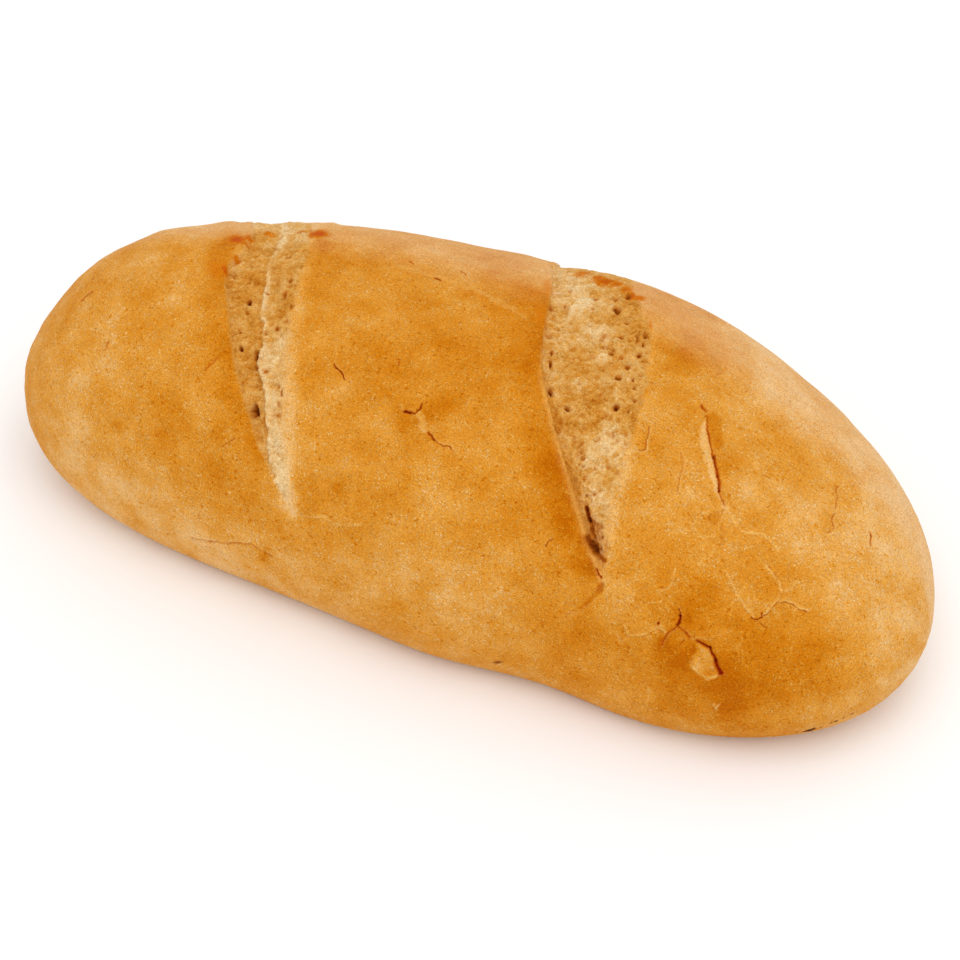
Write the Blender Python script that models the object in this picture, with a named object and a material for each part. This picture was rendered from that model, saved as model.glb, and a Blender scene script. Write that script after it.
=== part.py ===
"""A small brown bread loaf, baked free standing, with two opened slashes across its crown.

Metres, +Z up. The flat base stands on z = 0 and the loaf's outline is centred on the origin.
+X runs along the loaf, and -Y is its straighter side. The skin is worked out from a few curves:
a bowed axis, the width on both sides of it, the line of the crown, and a rounded section.
"""

from math import cos, pi, radians, tan

import bmesh
import bpy
import numpy as np

# The whole loaf
LENGTH = 0.250
HEIGHT = 0.070
HALF_LENGTH = LENGTH / 2
HALF_WIDTH = 0.057                  # from the axis to each edge, at the middle of the length
WIDENING = 0.31                     # share by which the loaf is wider towards +X than at its middle
WIDEST_LEVEL = 0.020                # height of the edges above the base

# The axis seen from above is bowed towards +Y, and its ends lie a little askew
AXIS_Y = -0.0001
AXIS_BOW = 0.0132
AXIS_SKEW = -0.0027

# How blunt the ends are towards -X and +X: 2 is an ellipse, more is blunter
PLAN_BLUNTNESS = (4.9, 1.7)
CROWN_BLUNTNESS = (4.9, 1.93)
SECTION_BLUNTNESS = 2.37

# A long shallow waist in the edge at -Y
WAIST_X = 0.039
WAIST_REACH = 0.026
WAIST_DEPTH = 0.0048

# The underside rounds in from the edges to the flat base
BASE_WIDTH_SHARE = 0.83
BASE_LENGTH_SHARE = 0.82

# How closely the skin is divided
SPACING = 0.0052                    # between rings, along the loaf
SLASH_SPACING = 0.0026              # the same, where a slash crosses
TIP_SPACING = 0.0012                # the first ring's distance from a tip
TIP_GROWTH = 0.35
RING_SLANT = radians(21)            # the rings run with the slashes
CROWN_STEPS = 40                    # from edge to edge over the crown
ROUND_STEPS = 6                     # from an edge down to the base

CRUST_COLOUR = (0.66, 0.29, 0.055, 1.0)
CRUST_ROUGHNESS = 0.62


def smooth_through(marks, values, at):
    """A smooth curve through the values at the marks, level beyond both ends."""
    marks, values = np.array(marks), np.array(values)
    slopes = np.gradient(values, marks)
    i = np.clip(np.searchsorted(marks, at) - 1, 0, len(marks) - 2)
    gap = marks[i + 1] - marks[i]
    t = np.clip((at - marks[i]) / gap, 0, 1)
    start = (1 + 2 * t) * values[i] + t * gap * slopes[i]
    end = (3 - 2 * t) * values[i + 1] - (1 - t) * gap * slopes[i + 1]
    return (1 - t) ** 2 * start + t**2 * end


class Slash:
    """A cut across the crown that the oven opened to the shape of a leaf.

    The lips are rows of an angle and the two lips' distances from the cut's own line, to -X and
    +X. Angles run round the section from the top of the crown, in degrees, positive towards -Y.
    """

    def __init__(self, x, slant, depth, far_share, lowest, lips):
        self.x = x                          # where the cut crosses the long axis
        self.slant = radians(slant)
        self.depth = depth
        self.far_share = far_share          # of that depth, on the side towards +Y
        self.lowest = lowest                # its deepest line, from 0 at one lip to 1 at the other
        self.angles, self.left, self.right = zip(*lips)

    def covers(self, x):
        return min(self.left) * 1.2 < x - self.x < max(self.right) * 1.2

    def sink(self, x, y, angle):
        """How far the surface lies below the crust at these points."""
        left = smooth_through(self.angles, self.left, angle)
        right = smooth_through(self.angles, self.right, angle)
        opening = np.maximum(right - left, 1e-6)
        offset = (x - self.x + tan(self.slant) * y) * cos(self.slant)
        across = np.clip((offset - left) / opening, 0, 1)
        up_left = 1 - across / self.lowest
        up_right = (across - self.lowest) / (1 - self.lowest)
        hollow = np.cos(np.where(across < self.lowest, up_left, up_right) * pi / 2) ** 2
        depth = self.depth * smooth_through((-45, 15), (self.far_share, 1.0), angle)
        widest = max(self.right) - min(self.left)
        return depth * hollow * np.minimum(opening / widest, 1) ** 0.5


LEFT_SLASH = Slash(
    x=-0.059, slant=24, depth=0.0031, far_share=0.45, lowest=0.48,
    lips=(
        (-76, 0.0, 0.0), (-50, -0.0055, 0.0085), (-22, -0.0076, 0.0122),
        (0, -0.0110, 0.0099), (20, -0.0100, 0.0066), (38, -0.0077, 0.0038),
        (50, -0.0040, 0.0036), (58, 0.0, 0.0035), (68, 0.0033, 0.0034),
    ),
)
RIGHT_SLASH = Slash(
    x=0.0304, slant=20.5, depth=0.0030, far_share=0.55, lowest=0.22,
    lips=(
        (-78, 0.0, 0.0), (-50, -0.0098, 0.0085), (-30, -0.0117, 0.0118),
        (-14, -0.0122, 0.0143), (5, -0.0136, 0.0118), (22, -0.0104, 0.0078),
        (38, -0.0050, 0.0050), (48, -0.0025, 0.0032), (60, 0.0011, 0.0011),
    ),
)
SLASHES = (LEFT_SLASH, RIGHT_SLASH)


def end_rounding(x, bluntness):
    """1 along the middle of the loaf, falling to 0 at each tip."""
    share = np.minimum(np.abs(x) / HALF_LENGTH, 1)
    return np.sqrt(1 - share ** np.where(x < 0, *bluntness))


def middle_and_half_width(x):
    """Of the loaf's outline at x, seen from above."""
    share = x / HALF_LENGTH
    axis = AXIS_Y - AXIS_BOW * share**2 + AXIS_SKEW * share
    half = HALF_WIDTH * (1 + WIDENING * share) * end_rounding(x, PLAN_BLUNTNESS)
    waist = WAIST_DEPTH * np.exp(-(((x - WAIST_X) / WAIST_REACH) ** 2))
    return axis + waist / 2, half - waist / 2


def crown_offset(x, angle):
    """Where the uncut crust lies at each angle: sideways from the middle, and above the edges."""
    _, half = middle_and_half_width(x)
    rise = (HEIGHT - WIDEST_LEVEL) * end_rounding(x, CROWN_BLUNTNESS)
    across, up = np.sin(np.radians(angle)), np.abs(np.cos(np.radians(angle)))
    power = SECTION_BLUNTNESS
    size = (np.abs(across) ** power + up**power) ** (-1 / power)
    return -half * size * across, rise * size * up


def slanted(x, angle):
    """Moves points along the loaf, so that the ring that crosses the axis at x is slanted."""
    slant = tan(RING_SLANT) * (1 - (x / HALF_LENGTH) ** 4)
    place = np.full_like(angle, x)
    for _ in range(60):
        y = middle_and_half_width(place)[0] + crown_offset(place, angle)[0]
        place = x - slant * y
    return place


def crown_points(x):
    """The ring's points over the crown, from the edge at +Y to the one at -Y."""
    angle = np.linspace(-90, 90, CROWN_STEPS + 1)
    place = slanted(x, angle)
    middle, _ = middle_and_half_width(place)
    side, up = crown_offset(place, angle)
    sink = sum(slash.sink(place, middle + side, angle) for slash in SLASHES)
    kept = 1 - sink / np.maximum(np.hypot(side, up), sink + 1e-9)
    return np.stack([place, middle + side * kept, WIDEST_LEVEL + up * kept], axis=1)


def under_points(near_x, far_x):
    """The ring's points under the loaf, from the edge at -Y to the one at +Y."""
    down = np.linspace(0, pi / 2, ROUND_STEPS + 1)[1:]
    inwards = np.cos(down)
    drop = 1 - np.sin(down)
    across = BASE_WIDTH_SHARE + (1 - BASE_WIDTH_SHARE) * inwards
    along = BASE_LENGTH_SHARE + (1 - BASE_LENGTH_SHARE) * inwards
    across = np.concatenate([-across, across[::-1]])
    along = np.concatenate([along, along[::-1]])
    level = np.concatenate([drop, drop[::-1]])
    x = near_x + (far_x - near_x) * (across + 1) / 2
    middle, half = middle_and_half_width(x)
    return np.stack([x * along, middle + half * across, WIDEST_LEVEL * level], axis=1)


def ring(x):
    over = crown_points(x)
    under = under_points(over[-1, 0], over[0, 0])
    return np.concatenate([over, under])


def stations():
    """Where the rings cross the long axis: close together at the slashes and the tips."""
    marks = [-HALF_LENGTH]
    while marks[-1] < HALF_LENGTH:
        x = marks[-1]
        to_tip = max(HALF_LENGTH - abs(x), 0)
        cut = any(slash.covers(x) for slash in SLASHES)
        step = min(SLASH_SPACING if cut else SPACING, TIP_SPACING + TIP_GROWTH * to_tip)
        marks.append(x + step)
    return np.interp(marks, [-HALF_LENGTH, marks[-1]], [-HALF_LENGTH, HALF_LENGTH])


def make_crust():
    crust = bpy.data.materials.new("crust")
    crust.use_nodes = True
    shader = crust.node_tree.nodes["Principled BSDF"]
    shader.inputs["Base Color"].default_value = CRUST_COLOUR
    shader.inputs["Roughness"].default_value = CRUST_ROUGHNESS
    shader.inputs["Metallic"].default_value = 0.0
    return crust


def make_loaf():
    bm = bmesh.new()
    rings = [[bm.verts.new(point) for point in ring(x)] for x in stations()]
    for here, there in zip(rings, rings[1:]):
        for i in range(len(here)):
            j = (i + 1) % len(here)
            bm.faces.new((here[i], here[j], there[j], there[i]))
    # Each end ring is a point and a line below it, whose two sides meet there
    bmesh.ops.remove_doubles(bm, verts=bm.verts, dist=1e-6)
    bmesh.ops.recalc_face_normals(bm, faces=bm.faces)
    mesh = bpy.data.meshes.new("loaf")
    bm.to_mesh(mesh)
    bm.free()
    mesh.shade_smooth()
    mesh.set_sharp_from_angle(angle=radians(50))
    mesh.materials.append(make_crust())
    loaf = bpy.data.objects.new("loaf", mesh)
    bpy.context.collection.objects.link(loaf)


for old in list(bpy.data.objects):
    bpy.data.objects.remove(old)
make_loaf()
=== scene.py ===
# %% [markdown]
# # A small brown loaf with two opened slashes
#
# The object is one piece of bread: a long dough that was rolled, laid on a hot floor, cut twice across
# the top and baked until its crust went golden brown. What the eye reads first is the silhouette, then
# the two slashes, where the crust tore open over paler crumb, and then the colour of the crust, which is
# never one colour: it is brown on the shoulders beside the cuts and blond where the loaf curves under.
#
# The solid loaf of the frame has the right size and the right slashes, but it is coarse. Here it is
# made again as a fine skin that carries the crumb, the pores, the cracks and the flakes. The order is:
# the uncut form, the slashes, the single marks, the swells, then the colours and the light.

# %% The frame
from math import cos, pi, radians, sin, tan

import bpy
import numpy as np
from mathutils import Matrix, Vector, noise


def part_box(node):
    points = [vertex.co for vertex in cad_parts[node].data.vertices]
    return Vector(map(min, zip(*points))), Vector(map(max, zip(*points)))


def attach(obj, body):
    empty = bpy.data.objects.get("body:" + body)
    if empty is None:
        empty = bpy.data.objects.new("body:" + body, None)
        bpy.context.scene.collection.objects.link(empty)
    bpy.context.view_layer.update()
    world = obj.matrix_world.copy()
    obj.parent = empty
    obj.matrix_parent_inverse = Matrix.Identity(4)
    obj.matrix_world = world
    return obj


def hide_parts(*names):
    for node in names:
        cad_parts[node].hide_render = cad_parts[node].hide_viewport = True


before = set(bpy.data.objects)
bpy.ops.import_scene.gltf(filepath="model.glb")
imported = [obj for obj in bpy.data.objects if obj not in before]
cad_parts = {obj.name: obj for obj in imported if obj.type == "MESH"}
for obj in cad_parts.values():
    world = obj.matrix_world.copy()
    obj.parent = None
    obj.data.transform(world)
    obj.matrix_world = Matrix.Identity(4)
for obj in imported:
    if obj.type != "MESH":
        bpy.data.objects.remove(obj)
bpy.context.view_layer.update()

low, high = [np.array(corner) * 1000 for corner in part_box("loaf")]
HALF_LENGTH = (high[0] - low[0]) / 2
HEIGHT = high[2] - low[2]
print(f"the loaf is {2 * HALF_LENGTH:.0f} mm long and {HEIGHT:.0f} mm high")

# %% [markdown]
# ## The camera
#
# The camera comes first, because the marks on the crust are told by where they show in the photograph,
# and the camera is what turns a place in the picture into a place on the loaf. It looks down at 45
# degrees from a little to the right. Its lens is long, as for a product picture, so that the near end
# of the loaf isn't blown up. All shaping below is in millimetres, and only the mesh itself is in metres.

# %% Camera
PICTURE = 960                       # the photograph's side in pixels
AZIMUTH, ELEVATION = radians(21.7), radians(45)
DISTANCE = 0.800
TARGET = Vector((0, 0, 0.035))
LENS, SENSOR = 116.1, 36.0
AIM_RIGHT, AIM_DOWN = -0.00097, 0.01822   # the picture's middle is a little off the target

back = Vector((sin(AZIMUTH) * cos(ELEVATION), -cos(AZIMUTH) * cos(ELEVATION), sin(ELEVATION)))
right = Vector((cos(AZIMUTH), sin(AZIMUTH), 0))
down = right.cross(back)
bpy.ops.object.camera_add(location=TARGET + back * DISTANCE)
camera = bpy.context.object
camera.rotation_euler = (-back + right * AIM_RIGHT + down * AIM_DOWN).to_track_quat("-Z", "Y").to_euler()
camera.data.lens = LENS
camera.data.sensor_width = SENSOR
bpy.context.scene.camera = camera
bpy.context.view_layer.update()
to_camera = np.array(camera.matrix_world.inverted())
camera_place = np.array(camera.matrix_world.translation) * 1000


def in_picture(points):
    """Where points on the loaf, in millimetres, show in the photograph, in its pixels."""
    seen = points / 1000 @ to_camera[:3, :3].T + to_camera[:3, 3]
    return PICTURE / 2 + LENS / SENSOR * PICTURE * seen[:, :2] / -seen[:, 2:] * (1, -1)


PIXELS_PER_MM = LENS / SENSOR * PICTURE / DISTANCE / 1000
print(f"a millimetre of the loaf is about {PIXELS_PER_MM:.1f} pixels of the photograph")

# %% [markdown]
# ## The form of the uncut loaf
#
# A loaf could be sculpted by hand, but a few curves say it better: how wide it is along its length, how
# its axis bows, how high its crown is, and how round it is from side to side. The ends are blunt on the
# left and pointed on the right, and the front has a long shallow waist.
#
# The curves are read over a ball. A point of the ball has a place along the axis and a turn round it,
# and each such pair has its point on the loaf, just as dough is rolled from a ball into a loaf. So a
# plain sphere can be cut finer wherever detail is wanted, and still takes on the exact form.

# %% Curves of the loaf
HALF_WIDTH = 57.0                   # from the axis to each edge, at the middle of the length
WIDENING = 0.31                     # share by which the loaf is wider at its right end than at its middle
WIDEST_LEVEL = 20.0                 # height of the edges above the base
AXIS_Y, AXIS_BOW, AXIS_SKEW = -0.1, 13.2, -2.7      # the axis bows back, and its ends lie a little askew
PLAN_BLUNTNESS = (4.9, 1.7)         # of the left and the right end: 2 is an ellipse, more is blunter
CROWN_BLUNTNESS = (4.9, 1.93)
SECTION_BLUNTNESS = 2.37
WAIST_X, WAIST_REACH, WAIST_DEPTH = 39.0, 26.0, 4.8
BASE_WIDTH_SHARE, BASE_LENGTH_SHARE = 0.83, 0.82    # how much smaller the base is than the widest outline

# How the ball is laid over the loaf
SEGMENTS, RINGS = 104, 112
RING_SLANT = radians(20)            # the rings run along the slashes
EVENING = 0.2                       # the rings are wide apart in the middle and are moved together by this
TIP_REACH = 1.001 * pi / RINGS      # the part of the ball round each pole that closes up to the tip
CROWN_TURN = 115.0                  # how far round the ball the crown goes on each side, in degrees
ROUNDING_SHARE = 0.5                # of what is left, for the part that rounds in to the base


def end_rounding(x, bluntness):
    """1 along the middle of the loaf, falling to 0 at each tip."""
    share = np.minimum(np.abs(x) / HALF_LENGTH, 1)
    return np.sqrt(1 - share ** np.where(x < 0, *bluntness))


def axis_and_half_width(x):
    """Of the loaf's outline at x, seen from above."""
    share = x / HALF_LENGTH
    axis = AXIS_Y - AXIS_BOW * share**2 + AXIS_SKEW * share
    half = HALF_WIDTH * (1 + WIDENING * share) * end_rounding(x, PLAN_BLUNTNESS)
    waist = WAIST_DEPTH * np.exp(-(((x - WAIST_X) / WAIST_REACH) ** 2))
    return axis + waist / 2, half - waist / 2


def loaf_form(ball):
    """The loaf's points for points of the unit ball, and each one's angle round the section.

    The angle is 0 on top of the crown and 90 degrees at the front edge, and goes on under the loaf.
    """
    # Round the ball: over the crown on each side, and then what lies below the edges
    turn = np.degrees(np.arctan2(-ball[:, 1], ball[:, 2]))
    side = np.where(turn < 0, -1.0, 1.0)
    below = np.clip((np.abs(turn) - CROWN_TURN) / (180 - CROWN_TURN), 0, 1)
    angle = np.radians(np.clip(turn / CROWN_TURN, -1, 1) * 90)
    # Along the ball, ring by ring
    from_pole = np.arccos(np.clip(np.abs(ball[:, 0]), 0, 1))
    from_pole = np.clip((from_pole - TIP_REACH) / (pi / 2 - TIP_REACH), 0, 1) * pi / 2
    ring = np.sign(ball[:, 0]) * np.cos(from_pole)
    ring *= (1 - EVENING * (1 - ring**2)) * HALF_LENGTH
    lean = tan(RING_SLANT) * (1 - (ring / HALF_LENGTH) ** 4)
    x = ring + lean * axis_and_half_width(ring)[1] * np.sin(angle) * (1 - below)
    axis, half = axis_and_half_width(x)
    # Over the crown
    size = (np.abs(np.sin(angle)) ** SECTION_BLUNTNESS + np.abs(np.cos(angle)) ** SECTION_BLUNTNESS)
    size **= -1 / SECTION_BLUNTNESS
    rise = (HEIGHT - WIDEST_LEVEL) * end_rounding(x, CROWN_BLUNTNESS)
    crown = np.stack([x, axis - half * size * np.sin(angle), WIDEST_LEVEL + rise * size * np.cos(angle)], 1)
    # Under the edges, and over the flat base
    round_in = np.clip(below / ROUNDING_SHARE, 0, 1) * pi / 2
    inwards = np.cos(round_in)
    flat = 1 - np.clip((below - ROUNDING_SHARE) / (1 - ROUNDING_SHARE), 0, 1)
    across = (BASE_WIDTH_SHARE + (1 - BASE_WIDTH_SHARE) * inwards) * flat
    along = BASE_LENGTH_SHARE + (1 - BASE_LENGTH_SHARE) * inwards
    under = np.stack([x * along, axis - side * half * across, WIDEST_LEVEL * (1 - np.sin(round_in))], 1)
    return np.where(below[:, None] > 0, under, crown), np.degrees(angle) + side * below * 90


# %% [markdown]
# ## Where the slashes lie
#
# Each slash is a straight cut that the oven opened to the shape of a leaf. A blade-shaped solid taken
# away from the loaf would leave two straight walls, so each slash is a table instead. A row of it is one
# place along the cut: the angle round the section, where the left and the right lip are, where the
# valley is, and how deep it is there, in millimetres from the cut's own straight line. Between rows
# everything runs smoothly. The photograph gives the front of each slash, and the back follows it.

# %% Slashes


def smooth_through(marks, values, at):
    """A smooth curve through the values at the marks, level beyond both ends."""
    marks, values = np.array(marks, float), np.array(values, float)
    slopes = np.gradient(values, marks)
    i = np.clip(np.searchsorted(marks, at) - 1, 0, len(marks) - 2)
    gap = marks[i + 1] - marks[i]
    t = np.clip((at - marks[i]) / gap, 0, 1)
    start = (1 + 2 * t) * values[i] + t * gap * slopes[i]
    end = (3 - 2 * t) * values[i + 1] - (1 - t) * gap * slopes[i + 1]
    return (1 - t) ** 2 * start + t**2 * end


def ramp(start, end, value):
    """0 up to start, 1 from end on, and a smooth rise between."""
    t = np.clip((value - start) / (end - start), 0, 1)
    return t * t * (3 - 2 * t)


class Slash:
    def __init__(self, x, slant, rows):
        self.x, self.slant = x, radians(slant)
        self.rows = np.array(rows, float)

    def read(self, points, angle):
        """How far each point is in from the left and the right lip and past the valley, and the depth."""
        offset = (points[:, 0] - self.x + tan(self.slant) * points[:, 1]) * cos(self.slant)
        marks = self.rows[:, 0]
        left, right, valley, depth = [smooth_through(marks, column, angle) for column in self.rows.T[1:]]
        return offset - left, right - offset, offset - valley, depth


# Angle, left lip, right lip, valley, depth
LEFT_SLASH = Slash(x=-59.0, slant=24, rows=(
    (-76, 0.0, 0.0, 0.0, 0.0), (-62, -3.4, 5.0, 0.4, 0.7), (-50, -5.5, 8.5, 0.5, 1.2),
    (-24, -7.4, 12.6, 0.0, 1.8), (-10, -9.2, 12.0, -0.6, 2.2), (2, -11.0, 9.6, -0.9, 2.4),
    (13, -10.2, 7.9, -1.2, 2.6), (24, -9.8, 6.0, -1.8, 2.6), (33, -9.0, 4.4, -2.6, 2.4),
    (40, -7.2, 3.8, -0.9, 2.1), (47, -5.2, 3.6, -0.5, 1.8), (53, -2.6, 3.4, -0.4, 1.4),
    (60, 0.9, 3.6, 1.4, 0.7), (68, 3.2, 3.4, 3.3, 0.0),
))
RIGHT_SLASH = Slash(x=30.4, slant=20.5, rows=(
    (-78, 0.0, 0.0, 0.0, 0.0), (-64, -7.0, 5.0, -3.0, 1.0), (-50, -10.2, 8.4, -5.0, 1.5),
    (-38, -11.4, 9.8, -7.0, 1.6), (-28, -11.8, 11.8, -8.0, 1.5), (-14, -12.2, 14.4, -9.0, 1.4),
    (0, -13.3, 13.2, -10.0, 1.4), (8, -13.2, 11.3, -10.4, 1.5), (16, -12.0, 9.2, -9.6, 1.6),
    (25, -9.7, 7.1, -7.5, 1.8), (32, -7.4, 5.9, -5.6, 2.1), (39, -4.6, 4.9, -3.2, 2.6),
    (46, -2.9, 3.5, -1.4, 2.8), (53, 0.2, 2.0, 0.8, 2.2), (60, 1.1, 1.2, 1.15, 0.0),
))

# The same edges where they show in the photograph, with their kinks
LEFT_EDGES = {
    "left": ((252, 229), (247, 241), (240, 253), (229, 261), (225, 270), (224, 285), (226, 300), (227, 315),
             (229, 335), (231, 350), (234, 365), (238, 380), (241, 393), (244, 406), (249, 420), (253, 433),
             (258, 447), (263, 458), (268, 468), (272, 478), (277, 490), (283, 500)),
    "valley": ((283, 228), (280, 236), (276, 245), (270, 252), (267, 262), (267, 275), (265, 286), (262, 296),
               (260, 307), (261, 314), (264, 319), (262, 325), (263, 336), (262, 344), (258, 352), (256, 362),
               (259, 372), (263, 382), (265, 395), (265, 410), (266, 430), (267, 448), (268, 458), (271, 468),
               (275, 477), (279, 487), (283, 497)),
    "right": ((318, 237), (317, 250), (314, 258), (309, 268), (306, 280), (303, 292), (301, 305), (299, 318),
              (297, 335), (296, 360), (295, 380), (294, 400), (293, 420), (292, 440), (291, 460), (290, 480),
              (289, 500)),
}
RIGHT_EDGES = {
    "left": ((551, 263), (551, 285), (549, 300), (546, 315), (543, 330), (542, 345), (541, 360), (542, 375),
             (544, 388), (547, 400), (550, 412), (553, 425), (557, 438), (561, 452), (565, 466), (569, 480),
             (573, 494), (577, 507), (581, 520), (584, 532), (587, 543), (592, 554), (597, 565), (600, 575)),
    "right": ((636, 295), (641, 303), (647, 314), (652, 325), (655, 337), (655, 350), (653, 362), (651, 375),
              (650, 388), (647, 400), (644, 412), (641, 425), (638, 440), (634, 455), (630, 470), (626, 485),
              (622, 500), (618, 515), (614, 530), (611, 545), (607, 560), (603, 572)),
}

# %% [markdown]
# ## Cracks, flakes and pores
#
# Beside the slashes the crust has its own history. As it cools it shrinks on the soft loaf and breaks
# into fine cracks, whose edges stand up and catch the light. Some bits lift as flakes or chip away. The
# torn crumb has pores, at the lower end of the right slash it is torn into hollows, and where a lip stood
# up into the heat it is scorched orange. Low on the right the hot floor left a few burnt spots.
#
# Such marks could be painted on or pressed in with a texture, but up close and from the side only shape
# looks right. So each one is a line, an outline or a spot that moves the skin, and its colour goes with
# it; inside cracks, pores and hollows that colour is painted shade. Each is named by where it shows in
# the photograph, so that it can be checked against it.

# %% Marks of the crust


class Crack:
    """A line through the crust, with its width and depth in millimetres and how dark it is inside, as painted
    shade.

    lift and pale say how far and how pale the crust's edge stands up on the line's left side, and edge
    how broad that edge is, in millimetres.
    """

    def __init__(self, *line, width=0.3, depth=0.2, dark=0.0, lift=0.0, pale=0.0, edge=0.28):
        self.line = np.array(line, float)
        self.width, self.depth, self.dark = width, depth, dark
        self.lift, self.pale, self.edge = lift, pale, edge


class Flake:
    """A piece inside an outline that stands up or, with a negative lift, has chipped away.

    lift is in millimetres, pale and brown are how its colour differs, and its edge rises over soft
    pixels to each side of the outline.
    """

    def __init__(self, *outline, lift, pale=0.0, brown=0.0, soft=0.8):
        self.line = np.array(outline + outline[:1], float)
        self.lift, self.pale, self.brown, self.soft = lift, pale, brown, soft


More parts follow.
